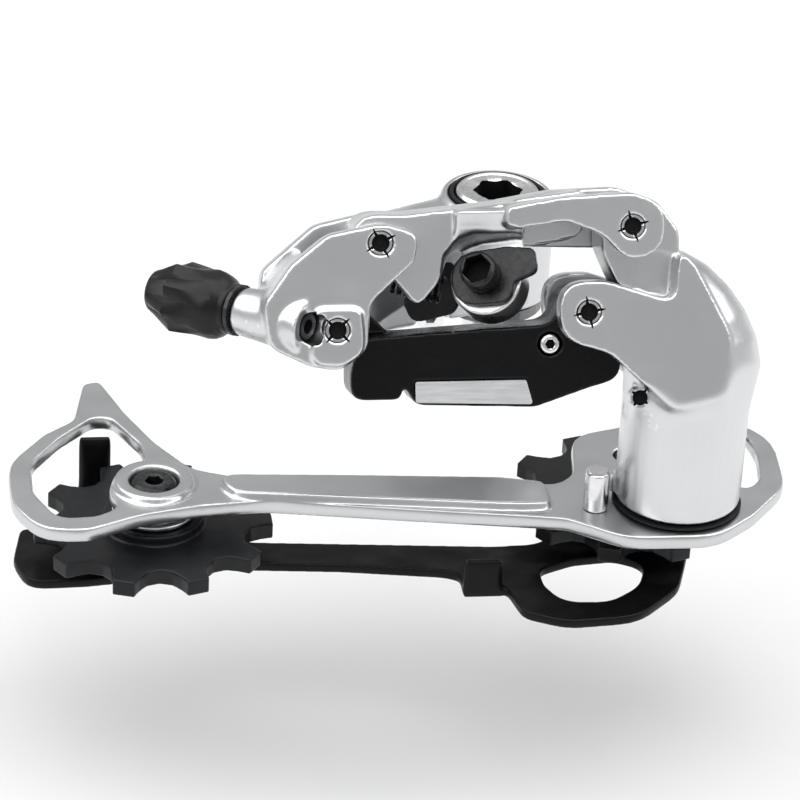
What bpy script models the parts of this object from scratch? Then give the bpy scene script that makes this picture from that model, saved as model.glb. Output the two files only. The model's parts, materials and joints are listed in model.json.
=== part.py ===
"""Rear bicycle derailleur: long-cage, slant parallelogram, with its jockey wheels.

Frame: origin on the mounting-bolt axis, in the plane where the derailleur seats on
the frame's hanger.  +Z points outboard, away from the wheel, +X towards the front of
the bicycle and -Y towards the ground.  Lengths below are in millimetres and become
metres when a mesh is made.

The four link pins are parallel and slanted: they are modelled in the linkage frame,
which is turned about X, with x across, y along the pins and z square to both.
"""

import math

import bmesh
import bpy
from mathutils import Matrix, Vector

MM = 0.001
GAP = 0.3            # between touching pieces

# --- mounting bolt and the knuckle that swings on it (frame axes) ---
BOSS_TOP = 22.6
BOSS_RADIUS = 10.4
HEAD_RADIUS = 7.6
HEAD_HEIGHT = 3.6
SHANK_RADIUS = 5.0
THREAD_RADIUS = 4.9
THREAD_LENGTH = 9.0
MOUNT_HEX = 8.0
STOP_PLATE_THICK = 2.0
HEAD_BORE = 8.9
HEAD_SEAT = 18.7
SPRING_POCKET = (9.0, 4.6, 15.2)     # radius, bottom, top
B_SCREW = (-13.6, 0, 5.2)

# --- slanted linkage (linkage axes) ---
SLANT = math.radians(22)
LINKAGE_DROP = -12.4
PIN_B1 = (-26.5, 26.1)
PIN_B2 = (-34.0, 11.5)
LINK_VECTOR = (43.3, 2.3)
PIN_P1 = (PIN_B1[0] + LINK_VECTOR[0], PIN_B1[1] + LINK_VECTOR[1])
PIN_P2 = (PIN_B2[0] + LINK_VECTOR[0], PIN_B2[1] + LINK_VECTOR[1])
PIN_RADIUS = 1.8
PIN_BORE = PIN_RADIUS + 0.3
FRONT = (-53.0, -48.8)       # arms nearest the ground
MIDDLE = (-48.4, -37.4)
REAR = (-37.0, -33.0)

# --- cage (frame axes) ---
CAGE_AXIS = (29.0, -38.0)
P_RADIUS = 11.2
P_BASE = -19.8
P_SEGMENTS = 40
OUTER_TOP = -20.8
OUTER_THICK = 2.6
INNER_TOP = -34.8
INNER_THICK = 1.8
TENSION_AXIS = (-63.2, -28.5)
GUIDE_AXIS = (23.4, -21.6)
PULLEY_MIDDLE = -29.8
STOP_PIN = (14.0, -40.0)
STOP_PIN_RADIUS = 2.2
STOP_PIN_HEIGHT = 7.6

# --- jockey wheels ---
TEETH = 10
CHAIN_PITCH = 12.7
ROLLER_SEAT = 4.0
TOOTH_TIP = 21.3
TOOTH_WIDTH = 3.0
TIP_HALF_ANGLE = math.radians(5.2)
HUB_HALF = 3.4
HUB_RADIUS = 9.0
AXLE_RADIUS = 2.45
SLEEVE = (2.75, 3.9)
CAP_RADIUS = (4.3, 7.4)

# --- cable adjuster: axis from its open end out through the knob (linkage axes) ---
ADJUSTER_START = (-38.4, -51.3, 11.9)
ADJUSTER_WAY = (-0.77, 0.625, 0.15)
BARREL_RADIUS = (5.1, 4.2)     # at its open end, at the knob
BARREL_LENGTH = 14.0
KNOB_LENGTH = 16.5
KNOB_RADIUS = 6.4
KNOB_FLUTES = 10

# --- cable clamp (linkage axes) ---
CLAMP_HEAD = (-10.2, -52.6, 21.6)
CLAMP_WAY = (-0.38, -0.85, 0.366)
CLAMP_SEAT = 6.4             # from the top of the bolt head back to the link's seat

# --- small screws (linkage axes) ---
LIMIT_SCREWS = ((3.3, 8.0, -1), (10.0, 5.2, 1))      # x, z and the face each one sits in
RETAINER = (18.4, -51.0, -1.2)

ROUND = 28
SMALL = 12


# ---------------------------------------------------------------- materials

FINISHES = {
    "silver": ((0.72, 0.73, 0.74), 0.3, 1.0),
    "polished": ((0.8, 0.8, 0.8), 0.15, 1.0),
    "dark_steel": ((0.12, 0.12, 0.13), 0.35, 0.9),
    "black_metal": ((0.015, 0.015, 0.016), 0.2, 0.4),
    "plastic": ((0.02, 0.02, 0.022), 0.5, 0.0),
    "pulley": ((0.035, 0.036, 0.038), 0.55, 0.0),
    "rubber": ((0.01, 0.01, 0.01), 0.7, 0.0),
    "label": ((0.6, 0.61, 0.62), 0.4, 0.0),
}


def finish(obj, kind):
    """Give the object a Principled material of its own."""
    colour, roughness, metallic = FINISHES[kind]
    material = bpy.data.materials.new(obj.name + "_" + kind)
    material.use_nodes = True
    shader = material.node_tree.nodes["Principled BSDF"]
    shader.inputs["Base Color"].default_value = (*colour, 1.0)
    shader.inputs["Roughness"].default_value = roughness
    shader.inputs["Metallic"].default_value = metallic
    obj.data.materials.clear()
    obj.data.materials.append(material)


# ---------------------------------------------------------------- scene helpers

def clear_scene():
    for obj in list(bpy.data.objects):
        bpy.data.objects.remove(obj, do_unlink=True)


def mm_vector(values):
    return Vector(values) * MM


def empty(name, parent=None, place=(0, 0, 0), turn=None):
    obj = bpy.data.objects.new(name, None)
    bpy.context.scene.collection.objects.link(obj)
    obj.parent = parent
    obj.location = mm_vector(place)
    if turn:
        obj.rotation_mode = "QUATERNION"
        obj.rotation_quaternion = turn
    return obj


def facing(way):
    """Turn that points local Z along way and keeps local X as near to X as it can."""
    z_axis = Vector(way).normalized()
    x_axis = (Vector((1, 0, 0)) - z_axis * z_axis.x).normalized()
    return Matrix((x_axis, z_axis.cross(x_axis), z_axis)).transposed().to_quaternion()


def add(name, bm, parent=None, origin=(0, 0, 0)):
    """Make an object of a bmesh drawn in its parent's axes; origin is its own centre."""
    bmesh.ops.recalc_face_normals(bm, faces=bm.faces)
    mesh = bpy.data.meshes.new(name)
    bm.to_mesh(mesh)
    bm.free()
    mesh.transform(Matrix.Translation(-Vector(origin)))
    mesh.transform(Matrix.Scale(MM, 4))
    mesh.shade_smooth()
    mesh.set_sharp_from_angle(angle=math.radians(32))
    obj = bpy.data.objects.new(name, mesh)
    bpy.context.scene.collection.objects.link(obj)
    obj.parent = parent
    obj.location = mm_vector(origin)
    return obj


def combine(target, tool, operation):
    """Add a tool to the target's last Boolean, or start a new one of this operation."""
    modifier = target.modifiers[-1] if target.modifiers else None
    if modifier is None or modifier.operation != operation:
        tools = bpy.data.collections.new("%s_%s" % (target.name, operation.lower()))
        bpy.context.scene.collection.children.link(tools)
        modifier = target.modifiers.new(tools.name, "BOOLEAN")
        modifier.operation = operation
        modifier.solver = "EXACT"
        modifier.operand_type = "COLLECTION"
        modifier.collection = tools
    modifier.collection.objects.link(tool)
    bpy.context.scene.collection.objects.unlink(tool)
    tool.hide_render = True
    tool.display_type = "WIRE"


def join(target, *tools):
    for tool in tools:
        combine(target, tool, "UNION")
    return target


def cut(target, *tools):
    for tool in tools:
        combine(target, tool, "DIFFERENCE")
    return target


# ---------------------------------------------------------------- outlines and solids

def rounded(corners, steps=3):
    """Outline through corners (a, b, radius), each corner turned into an arc."""
    outline = []
    count = len(corners)
    for i, corner in enumerate(corners):
        here = Vector(corner[:2])
        radius = corner[2] if len(corner) > 2 else 0
        back = (Vector(corners[i - 1][:2]) - here)
        ahead = (Vector(corners[(i + 1) % count][:2]) - here)
        half = back.angle(ahead) / 2
        room = min(back.length, ahead.length) * 0.49
        reach = min(radius / math.tan(half), room) if radius else 0
        if reach < 0.02 or half > math.radians(88):
            outline.append(here)
            continue
        radius = reach * math.tan(half)
        start = here + back.normalized() * reach
        end = here + ahead.normalized() * reach
        centre = here + (back.normalized() + ahead.normalized()).normalized() * radius / math.sin(half)
        first = math.atan2(*(start - centre).yx)
        sweep = math.atan2(*(end - centre).yx) - first
        sweep = (sweep + math.pi) % math.tau - math.pi
        for step in range(steps + 1):
            angle = first + sweep * step / steps
            outline.append(centre + Vector((math.cos(angle), math.sin(angle))) * radius)
    return outline


def circle(centre, radius, count=ROUND):
    return [
        Vector((centre[0] + radius * math.cos(math.tau * i / count),
                centre[1] + radius * math.sin(math.tau * i / count)))
        for i in range(count)
    ]


def prism(name, outline, low, high, parent=None, along="Z", origin=(0, 0, 0)):
    """Extrude an outline along Z, or along Y when the outline is drawn in x and z."""
    bm = bmesh.new()
    if along == "Z":
        base = [bm.verts.new((p[0], p[1], low)) for p in outline]
        move = Vector((0, 0, high - low))
    else:
        base = [bm.verts.new((p[0], low, p[1])) for p in outline]
        move = Vector((0, high - low, 0))
    face = bm.faces.new(base)
    made = bmesh.ops.extrude_face_region(bm, geom=[face])["geom"]
    bmesh.ops.translate(bm, vec=move, verts=[v for v in made if isinstance(v, bmesh.types.BMVert)])
    return add(name, bm, parent, origin)


def box(name, low, high, parent=None, origin=(0, 0, 0)):
    corners = [(low[0], low[1]), (high[0], low[1]), (high[0], high[1]), (low[0], high[1])]
    return prism(name, corners, low[2], high[2], parent, origin=origin)


def loft(name, rings, parent=None, origin=(0, 0, 0)):
    """Closed solid through rings of equal point counts, capped at both ends."""
    bm = bmesh.new()
    loops = [[bm.verts.new(p) for p in ring] for ring in rings]
    for one, two in zip(loops, loops[1:]):
        for i in range(len(one)):
            j = (i + 1) % len(one)
            bm.faces.new((one[i], one[j], two[j], two[i]))
    bm.faces.new(loops[0])
    bm.faces.new(loops[-1])
    return add(name, bm, parent, origin)


def turned(name, profile, parent=None, place=(0, 0, 0), segments=ROUND, origin=None, way=(0, 0, 1)):
    """Turn a profile of (radius, height) points about an axis through place."""
    bm = bmesh.new()
    turn = Vector((0, 0, 1)).rotation_difference(Vector(way)).to_matrix()
    loops = []
    for radius, height in profile:
        if radius < 0.001:
            loops.append([bm.verts.new(Vector(place) + turn @ Vector((0, 0, height)))])
            continue
        loops.append([
            bm.verts.new(Vector(place) + turn @ Vector((p[0], p[1], height)))
            for p in circle((0, 0), radius, segments)
        ])
    pairs = list(zip(loops, loops[1:]))
    if len(loops[0]) > 1 and len(loops[-1]) > 1:
        pairs.append((loops[-1], loops[0]))
    for one, two in pairs:
        for i in range(segments):
            j = (i + 1) % segments
            corners = [one[i % len(one)], one[j % len(one)], two[j % len(two)], two[i % len(two)]]
            bm.faces.new(list(dict.fromkeys(corners)))
    return add(name, bm, parent, place if origin is None else origin)


def rod(name, radius, low, high, parent=None, place=(0, 0, 0), way=(0, 0, 1), segments=ROUND):
    profile = [(0, high), (radius, high), (radius, low), (0, low)]
    return turned(name, profile, parent, place, segments, way=way)


def ring(name, inner, outer, low, high, parent=None, place=(0, 0, 0), way=(0, 0, 1), segments=ROUND):
    profile = [(inner, high), (outer, high), (outer, low), (inner, low)]
    return turned(name, profile, parent, place, segments, way=way)


def hexagon_rod(name, across_flats, low, high, parent=None, place=(0, 0, 0), way=(0, 0, 1)):
    return rod(name, across_flats / math.sqrt(3), low, high, parent, place, way, segments=6)


def pin_rod(name, pin, radius, layer, parent, segments=SMALL):
    """Round bar along the pins' direction, at a pin's place in the linkage."""
    return rod(name, radius, *layer, parent, (pin[0], 0, pin[1]), (0, 1, 0), segments)


def coil(name, radius, wire, turns, low, high, parent=None, place=(0, 0, 0), way=(0, 0, 1), sides=4):
    """Spring of round wire, wound about an axis through place."""
    bm = bmesh.new()
    turn = Vector((0, 0, 1)).rotation_difference(Vector(way)).to_matrix()
    steps = int(turns * 10)
    loops = []
    for step in range(steps + 1):
        angle = math.tau * turns * step / steps
        outward = Vector((math.cos(angle), math.sin(angle), 0))
        centre = outward * radius + Vector((0, 0, low + (high - low) * step / steps))
        section = []
        for side in range(sides):
            lean = math.tau * side / sides
            offset = outward * math.cos(lean) * wire + Vector((0, 0, math.sin(lean) * wire))
            section.append(bm.verts.new(Vector(place) + turn @ (centre + offset)))
        loops.append(section)
    for one, two in zip(loops, loops[1:]):
        for i in range(sides):
            j = (i + 1) % sides
            bm.faces.new((one[i], one[j], two[j], two[i]))
    bm.faces.new(loops[0])
    bm.faces.new(loops[-1])
    return add(name, bm, parent, place)


# ---------------------------------------------------------------- hanger side

def make_mounting_bolt():
    head_bottom = BOSS_TOP - HEAD_HEIGHT
    profile = [
        (0, BOSS_TOP), (HEAD_RADIUS - 0.7, BOSS_TOP), (HEAD_RADIUS, BOSS_TOP - 0.7),
        (HEAD_RADIUS, head_bottom), (SHANK_RADIUS, head_bottom), (SHANK_RADIUS, 0.2),
        (THREAD_RADIUS, -0.2), (THREAD_RADIUS, 1.0 - THREAD_LENGTH), (4.0, -THREAD_LENGTH),
        (0, -THREAD_LENGTH),
    ]
    bolt = turned("mounting_bolt", profile)
    socket = hexagon_rod("mounting_bolt_socket", MOUNT_HEX, BOSS_TOP - 6, BOSS_TOP + 2)
    finish(cut(bolt, socket), "silver")


def make_stop_plate():
    """Plate that bears on the hanger, with the ear that the tension screw pushes on."""
    plate = ring("stop_plate", SHANK_RADIUS + GAP, 9.4, 0, STOP_PLATE_THICK)
    ear = box("stop_plate_ear", (-16, -1.2, 0.0), (-8.5, 3.5, STOP_PLATE_THICK))
    tab = box("stop_plate_tab", (-16, -1.2, 0.5), (-11.6, 0.6, 7.5))
    finish(join(plate, ear, tab), "dark_steel")


def make_b_inside(pivot):
    sleeve = ring("b_bushing", SHANK_RADIUS + GAP, 6.2, 2.8, 18.4, pivot, segments=18)
    finish(sleeve, "dark_steel")
    seal = ring("b_seal_ring", HEAD_RADIUS + 0.25, 8.7, 19.3, BOSS_TOP - 0.5, pivot)
    finish(seal, "rubber")
    spring = coil("b_spring", 7.6, 0.75, 4.5, 5.7, 14.1, pivot)
    finish(spring, "dark_steel")


# ---------------------------------------------------------------- upper knuckle

B_ARM = [
    (-20.0, 27.6, 2), (-26.0, 29.4, 5), (-35.5, 27.6, 4), (-41.8, 22.6, 3), (-46.5, 16.0, 2),
    (-45.5, 8.5, 3), (-38.5, 5.2, 3), (-33.4, 4.4, 3), (-28.6, 8.0, 3), (-28.2, 16.0, 3),
    (-20.4, 23.0, 3),
]
B_REAR_ARM = [
    (-21.0, 27.6, 3), (-27.0, 30.0, 5), (-36.0, 28.0, 4), (-45.5, 20.0, 3), (-45.5, 8.5, 3),
    (-38.5, 5.2, 3), (-29.0, 5.4, 4), (-27.6, 16.0, 4), (-21.0, 21.0, 3),
]
B_SPINE = [(-38.7, 25.0, 2), (-42.0, 22.0, 2), (-46.0, 16.5, 2), (-45.0, 9.0, 2), (-38.7, 6.2, 1)]


def shoulder(linkage):
    """Web that carries the slanted arms from the round boss."""
    c, s = math.cos(SLANT), math.sin(SLANT)
    inside = REAR[1] - 0.6
    bm = bmesh.new()
    for x, y, bottom in ((-9.0, 5.0, 9.4), (-2.0, 9.6, 9.4), (3.0, -9.0, 3.0), (-6.0, -8.0, 3.0)):
        bm.verts.new((x, y, bottom))
        bm.verts.new((x, y, HEAD_SEAT - 0.5))
    for x, z in [(-43.5, 10), (-43.5, 19.5), (-36.0, 26.8), (-27.5, 28.8), (-29.0, 8.0)]:
        bm.verts.new((x, inside * c + z * s, -inside * s + z * c + LINKAGE_DROP))
        deep = inside + 3.0
        bm.verts.new((x, deep * c + z * s, -deep * s + z * c + LINKAGE_DROP))
    bmesh.ops.convex_hull(bm, input=bm.verts)
    loose = [v for v in bm.verts if not v.link_faces]
    bmesh.ops.delete(bm, geom=loose, context="VERTS")
    return add("b_shoulder", bm, linkage["b_frame"])


def make_b_knuckle(bodies):
    frame = bodies["b_frame"]
    slant = bodies["b_slant"]
    boss = turned("b_knuckle", [
        (0, BOSS_TOP - 0.6), (9.6, BOSS_TOP - 0.6), (BOSS_RADIUS, BOSS_TOP - 1.4), (BOSS_RADIUS, 2.4), (0, 2.4),
    ], frame, segments=36)
    join(boss, shoulder(bodies))
    join(boss, prism("b_rear_arm", rounded(B_REAR_ARM), *REAR, slant, "Y"))
    join(boss, prism("b_spine", rounded(B_SPINE), FRONT[0] + 1.5, REAR[1] - 1.0, slant, "Y"))
    join(boss, prism("b_front_arm", rounded(B_ARM), *FRONT, slant, "Y"))
    join(boss, pin_rod("b_pin_spacer", PIN_B2, 3.0, (FRONT[1] - 1.0, -42.9), slant))
    join(boss, prism("b_pin_pad", rounded([
        (-38.6, 5.8, 2), (-38.0, 15.2, 1.5), (-29.8, 15.2, 1.5), (-29.4, 7.5, 3), (-33.5, 5.2, 3),
    ]), FRONT[0] - 1.0, FRONT[0] + 1.0, slant, "Y"))
    join(boss, box("b_screw_lug", (-17.0, -12.5, 2.8), (-8.8, -6.5, 8.6), frame))
    barrel_end = Vector(ADJUSTER_START)
    open_radius, knob_radius = BARREL_RADIUS
    join(boss, turned("b_barrel", [
        (0, BARREL_LENGTH), (knob_radius, BARREL_LENGTH), (open_radius, 1.5), (open_radius, 0), (0, 0),
    ], slant, barrel_end, way=ADJUSTER_WAY))
    radius, bottom, top = SPRING_POCKET
    bore = SHANK_RADIUS + 1.5
    cut(boss, turned("b_bolt_bore", [
        (0, 40), (HEAD_BORE, 40), (HEAD_BORE, HEAD_SEAT), (bore, HEAD_SEAT), (bore, top), (radius, top),
        (radius, bottom), (bore, bottom), (bore, -5), (0, -5),
    ], frame))
    for number, pin in enumerate((PIN_B1, PIN_B2), 1):
        cut(boss, pin_rod("b_pin_bore_%d" % number, pin, PIN_BORE, (-60, -20), slant))
    cut(boss, rod("b_adjuster_bore", 2.9, -3, BARREL_LENGTH + 5, slant, barrel_end, ADJUSTER_WAY, SMALL))
    cut(boss, rod("b_screw_bore", 1.8, -14, -1, frame, B_SCREW, (0, 1, 0), SMALL))
    cut(boss, rod("b_screw_head_room", 3.2, -34, -12.7, frame, B_SCREW, (0, 1, 0), SMALL))
    finish(boss, "silver")


def make_pins(bodies):
    for name, pin, body in (
        ("outer_link_upper_pin", PIN_B1, "b_slant"), ("inner_link_upper_pin", PIN_B2, "b_slant"),
        ("outer_link_lower_pin", PIN_P1, "p_slant"), ("inner_link_lower_pin", PIN_P2, "p_slant"),
    ):
        front = FRONT[0] - (0.7 if pin == PIN_B2 else -0.3)
        bar = pin_rod(name, pin, PIN_RADIUS, (front, REAR[1] + 0.2), bodies[body], SMALL)
        finish(bar, "dark_steel")


def make_b_tension_screw(bodies):
    way = (0, 1, 0)
    profile = [(0, -16.5), (2.6, -16.5), (2.6, -13.2), (1.45, -13.2), (1.45, -2.2), (0.8, -1.5), (0, -1.5)]
    screw = turned("b_tension_screw", profile, bodies["b_frame"], B_SCREW, SMALL, way=way)
    slot = rod("b_tension_screw_hex", 1.15, -17.5, -15.0, bodies["b_frame"], B_SCREW, way, 6)
    finish(cut(screw, slot), "polished")


# ---------------------------------------------------------------- cable adjuster

def make_adjuster(bodies):
    """Drawn along the adjuster's own axis, from the barrel's open end outwards."""
    seat = bodies["adjuster_seat"]
    cap = turned("cable_end_seat", [
        (1.3, 0.4), (2.3, 0.4), (2.3, 3.2), (1.3, 3.2)], seat, segments=SMALL)
    finish(cap, "dark_steel")
    washer = ring("adjuster_washer", 3.1, 4.5, BARREL_LENGTH + GAP, BARREL_LENGTH + 1.0,
                  bodies["adjuster_slide"], segments=18)
    finish(washer, "dark_steel")
    make_knob(bodies["adjuster_turn"])
    stem = ring("adjuster_stem", 1.3, 2.5, 4.0, BARREL_LENGTH + KNOB_LENGTH + 1.6,
                bodies["adjuster_turn"], segments=SMALL)
    finish(stem, "silver")


def make_knob(turn):
    """Fluted plastic knob, narrower at both ends."""
    start = BARREL_LENGTH + 1.4
    stations = (
        (0.0, 0.68, 0.0), (0.07, 0.7, 0.0), (0.17, 0.94, 0.06), (0.24, 1.0, 0.1), (0.66, 1.0, 0.12),
        (0.86, 0.84, 0.08), (0.95, 0.72, 0.05), (1.0, 0.64, 0.0),
    )
    rings = []
    for part, width, depth in stations:
        points = []
        for i in range(KNOB_FLUTES * 4):
            angle = math.tau * i / (KNOB_FLUTES * 4)
            wave = 1 - depth * (1 - math.cos(angle * KNOB_FLUTES)) / 2 * 1.4
            radius = KNOB_RADIUS * width * wave
            points.append((radius * math.cos(angle), radius * math.sin(angle), start + part * KNOB_LENGTH))
        rings.append(points)
    knob = loft("adjuster_knob", rings, turn)
    finish(cut(knob, rod("adjuster_knob_bore", 2.8, 0, 60, turn, segments=SMALL)), "plastic")


# ---------------------------------------------------------------- links

OUTER_BODY = [
    (-31.1, 30.8, 4.6), (-22.0, 30.4, 6), (-4.0, 32.2, 9), (10.5, 33.9, 1),
    (10.5, 26.0, 2), (4.0, 24.6, 1), (-14.0, 23.6, 2), (-22.0, 21.5, 3), (-31.1, 21.5, 4.6),
]
OUTER_CLAW = [
    (-24.0, 30.2, 2), (-16.5, 30.6, 2), (-13.2, 29.0, 3), (-13.2, 24.5, 4), (-16.2, 18.5, 4),
    (-19.6, 14.6, 1.2), (-23.8, 19.6, 3), (-27.0, 22.0, 3), (-28.0, 28.0, 3),
]
OUTER_FRONT = [
    (-5.0, 31.8, 1), (5.0, 33.5, 6), (17.0, 34.1, 6), (22.4, 32.0, 5), (22.2, 24.0, 5.4),
    (16.0, 22.4, 4), (11.5, 27.0, 6), (5.4, 29.4, 5), (-5.0, 28.0, 1),
]
OUTER_REAR = [
    (-5.0, 31.8, 1), (5.0, 33.5, 6), (17.0, 34.0, 6), (22.4, 32.0, 5), (22.2, 23.6, 5.2),
    (14.0, 23.4, 3), (-5.0, 24.0, 1),
]


def make_outer_link(bodies):
    body = bodies["outer_link"]
    origin = (PIN_B1[0], 0, PIN_B1[1])
    link = prism("outer_link", rounded(OUTER_BODY), *MIDDLE, body, "Y", origin)
    join(link, prism("outer_claw", rounded(OUTER_CLAW), MIDDLE[0], -43.2, body, "Y"))
    join(link, prism("outer_front_arm", rounded(OUTER_FRONT), FRONT[0], FRONT[1], body, "Y"))
    join(link, prism("outer_rear_arm", rounded(OUTER_REAR), REAR[0] - 0.4, REAR[1], body, "Y"))
    roof = [(-3.5, 29.0), (-3.5, 32.0), (4.0, 33.0), (10.0, 33.6), (10.0, 30.6), (4.0, 30.0)]
    join(link, prism("outer_roof", roof, FRONT[0] + 0.5, MIDDLE[1], body, "Y"))
    facet = [[(x, MIDDLE[0] + 0.4, 24.6), (x, MIDDLE[0] - 2.9, 31.2), (x, MIDDLE[0] + 0.4, 31.4)]
             for x in (-13.4, -1.6)]
    join(link, loft("outer_web_facet", facet, body))
    join(link, rod("outer_clamp_boss", 6.4, -CLAMP_SEAT - 6.5, -CLAMP_SEAT, body, CLAMP_HEAD, CLAMP_WAY))
    # hollow under the roof, groove on the roof, bores
    cut(link, prism("outer_pocket", rounded([
        (-1.0, 21.0, 1), (-1.0, 30.4, 3), (5.0, 31.0, 3), (12.0, 31.4, 1), (12.0, 21.0, 1),
    ]), -48.6, -40.5, body, "Y"))
    cut(link, box("outer_groove", (-2.0, -45.6, 31.6), (10.0, -42.8, 36.0), body))
    cut(link, pin_rod("outer_bore_b", PIN_B1, PIN_BORE, (-60, -20), body))
    cut(link, pin_rod("outer_bore_p", PIN_P1, PIN_BORE, (-60, -20), body))
    recess = [(-6.6, -6.6, 6.4), (-6.6, 6.6, 6.4), (6.0, 6.6, 3), (11.5, 5.0, 1), (11.5, -2.4, 1),
              (6.6, -2.4, 1), (6.6, -6.6, 6.4)]
    cut(link, prism("outer_clamp_recess", rounded(recess), -CLAMP_SEAT, 8.0, bodies["clamp"]))
    cut(link, rod("outer_clamp_bore", 2.8, -24, 2, bodies["clamp"], segments=SMALL))
    finish(link, "silver")


def make_clamp(bodies):
    body = bodies["outer_link"]
    bolt = turned("cable_clamp_bolt", [
        (0, 0), (2.7, 0), (3.15, -0.4), (3.15, -4.4), (2.45, -4.4), (2.45, -12.4), (0, -12.4),
    ], body, CLAMP_HEAD, 18, way=CLAMP_WAY)
    socket = hexagon_rod("clamp_bolt_socket", 5.0, -3.2, 1.0, body, CLAMP_HEAD, CLAMP_WAY)
    finish(cut(bolt, socket), "dark_steel")
    washer = prism("cable_clamp_washer", rounded([
        (-5.6, -4.6, 4), (-5.6, 4.6, 4), (4.4, 4.8, 2.5), (9.2, 3.8, 1), (9.6, -0.4, 1.5), (5.4, -1.6, 1),
        (4.4, -5.2, 3),
    ]), GAP - CLAMP_SEAT, -GAP - 4.4, bodies["clamp"])
    cut(washer, rod("clamp_washer_bore", 2.75, -14, 4, bodies["clamp"], segments=SMALL))
    finish(washer, "black_metal")


INNER_BODY = [
    (-29.4, 9.4, 1), (-10.0, 10.6, 3), (4.0, 11.4, 3), (5.2, 16.0, 3), (9.3, 18.2, 4),
    (13.6, 16.4, 4), (16.2, 11.5, 2), (15.6, 1.8, 3), (10.0, 0.2, 3), (0.8, -2.9, 1.5),
    (-20.0, -2.2, 2), (-22.2, 1.8, 1), (-22.4, -1.2, 1), (-31.2, -1.2, 2), (-31.2, 3.6, 2),
]
INNER_END = [(-38.1, 15.6, 4.1), (-30.0, 15.6, 4.1), (-24.0, 10.0, 3), (-20.0, 4.0, 2),
             (-27.0, 3.6, 3), (-30.5, 7.4, 1), (-38.1, 7.4, 4.1)]
INNER_HOLLOW = [(-27.0, 6.6, 1), (-9.0, 7.8, 2), (1.0, 8.4, 2), (1.0, 1.4, 2), (-20.0, 1.0, 2), (-27.0, 3.2, 2)]


def make_inner_link(bodies):
    body = bodies["inner_link"]
    origin = (PIN_B2[0], 0, PIN_B2[1])
    link = prism("inner_link", rounded(INNER_BODY), MIDDLE[0], MIDDLE[1], body, "Y", origin)
    join(link, prism("inner_upper_end", rounded(INNER_END), -42.5, MIDDLE[1], body, "Y"))
    cut(link, prism("inner_hollow", rounded(INNER_HOLLOW), -45.6, -30, body, "Y"))
    cut(link, pin_rod("inner_bore_b", PIN_B2, PIN_BORE, (-60, -20), body))
    cut(link, pin_rod("inner_bore_p", PIN_P2, PIN_BORE + 0.2, (-60, -20), body))
    label_edge = [(-20.4, -2.1), (-20.4, 2.2), (-0.6, 2.2), (0.8, -2.7)]
    cut(link, prism("inner_label_seat", label_edge, MIDDLE[0] - 1, MIDDLE[0] + 0.3, body, "Y"))
    for number, (x, z, side) in enumerate(LIMIT_SCREWS):
        low, high = (-60, -43) if side < 0 else (-43, -30)
        cut(link, rod("inner_screw_bore_%d" % number, 2.1, low, high, body, (x, 0, z), (0, 1, 0), SMALL))
    finish(link, "black_metal")
    label = prism("link_label", rounded([
        (-20.0, -1.7, 0.4), (-20.1, 1.9, 0.4), (-0.9, 1.9, 0.4), (0.3, -2.3, 0.4)], 3),
        MIDDLE[0] - 0.3, MIDDLE[0], body, "Y")
    finish(label, "label")


RETURN_COIL = (2.3, 0.42)
RETURN_PLACE = (-22.4, -40.4, 18.5)
RETURN_WAY = (0.97, 0, -0.2)
SPRING_PLATE = [(-20.2, 20.6, 1), (-12.0, 21.4, 1), (-9.2, 17.0, 2), (-11.6, 12.4, 2), (-19.0, 10.8, 2), (-20.4, 14.0, 2)]


def make_limit_screws(bodies):
    for (x, z, side), name in zip(LIMIT_SCREWS, ("high_limit_screw", "low_limit_screw")):
        face = MIDDLE[0] - 0.2 if side < 0 else MIDDLE[1] + 0.2
        tip = face - side * 5.0
        profile = [(0, face), (1.8, face), (1.8, tip), (0, tip)]
        screw = turned(name, profile, bodies["inner_link"], (x, 0, z), SMALL, way=(0, 1, 0))
        low, high = sorted((face + side, face - side * 1.3))
        socket = rod(name + "_socket", 0.95, low, high, bodies["inner_link"], (x, 0, z), (0, 1, 0), 6)
        finish(cut(screw, socket), "polished")


def make_return_spring(bodies):
    body = bodies["outer_link"]
    finish(coil("return_spring", *RETURN_COIL, 5.5, 0, 8.6, body, RETURN_PLACE, RETURN_WAY), "dark_steel")
    plate = prism("spring_plate", rounded(SPRING_PLATE), MIDDLE[1] + 0.2, MIDDLE[1] + 1.0, bodies["b_slant"], "Y")
    finish(plate, "black_metal")


# ---------------------------------------------------------------- lower knuckle

P_ARM = [
    (4.1, 19.0, 5.1), (12.0, 19.2, 5), (20.6, 16.4, 4), (24.0, 15.6, 1.5),
    (24.8, 24.7, 1), (28.0, 21.4, 4), (34.2, 9.5, 8), (34.6, -2.0, 3), (24.0, -4.0, 3),
    (19.4, 0.6, 4), (13.0, 6.6, 6), (4.1, 9.2, 5),
]
P_BODY_MIDDLE = -43.0
P_BODY_DEPTH = 11.0
P_BODY = [                   # x, z, half width and lean of each section, going up
    (29.0, 3.0, 12.4, 3), (28.6, 6.4, 12.1, 9), (27.6, 9.6, 11.4, 18), (26.2, 12.2, 10.6, 28),
    (24.4, 14.6, 9.7, 40), (22.4, 16.4, 8.6, 53), (20.2, 17.6, 7.4, 67), (17.6, 18.2, 6.4, 80),
]
P_LINK_ROOM = [(4.0, -6.0), (18.6, -6.0), (18.6, 13.5), (15.6, 21.0), (4.0, 21.0)]
P_FORK_ROOM = [(-5.0, 18.6), (12.0, 18.8), (20.4, 16.1), (24.1, 15.3), (25.0, 24.5), (26.6, 40.0), (-5.0, 40.0)]
P_TOWER = [
    (12.3, 28.4, 4.5), (12.4, 33.0, 4.5), (21.6, 33.0, 4.5), (26.0, 27.0, 2), (26.0, 12.0, 1),
    (18.4, 12.0, 2), (14.4, 19.0, 2), (12.3, 23.8, 3),
]


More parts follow.
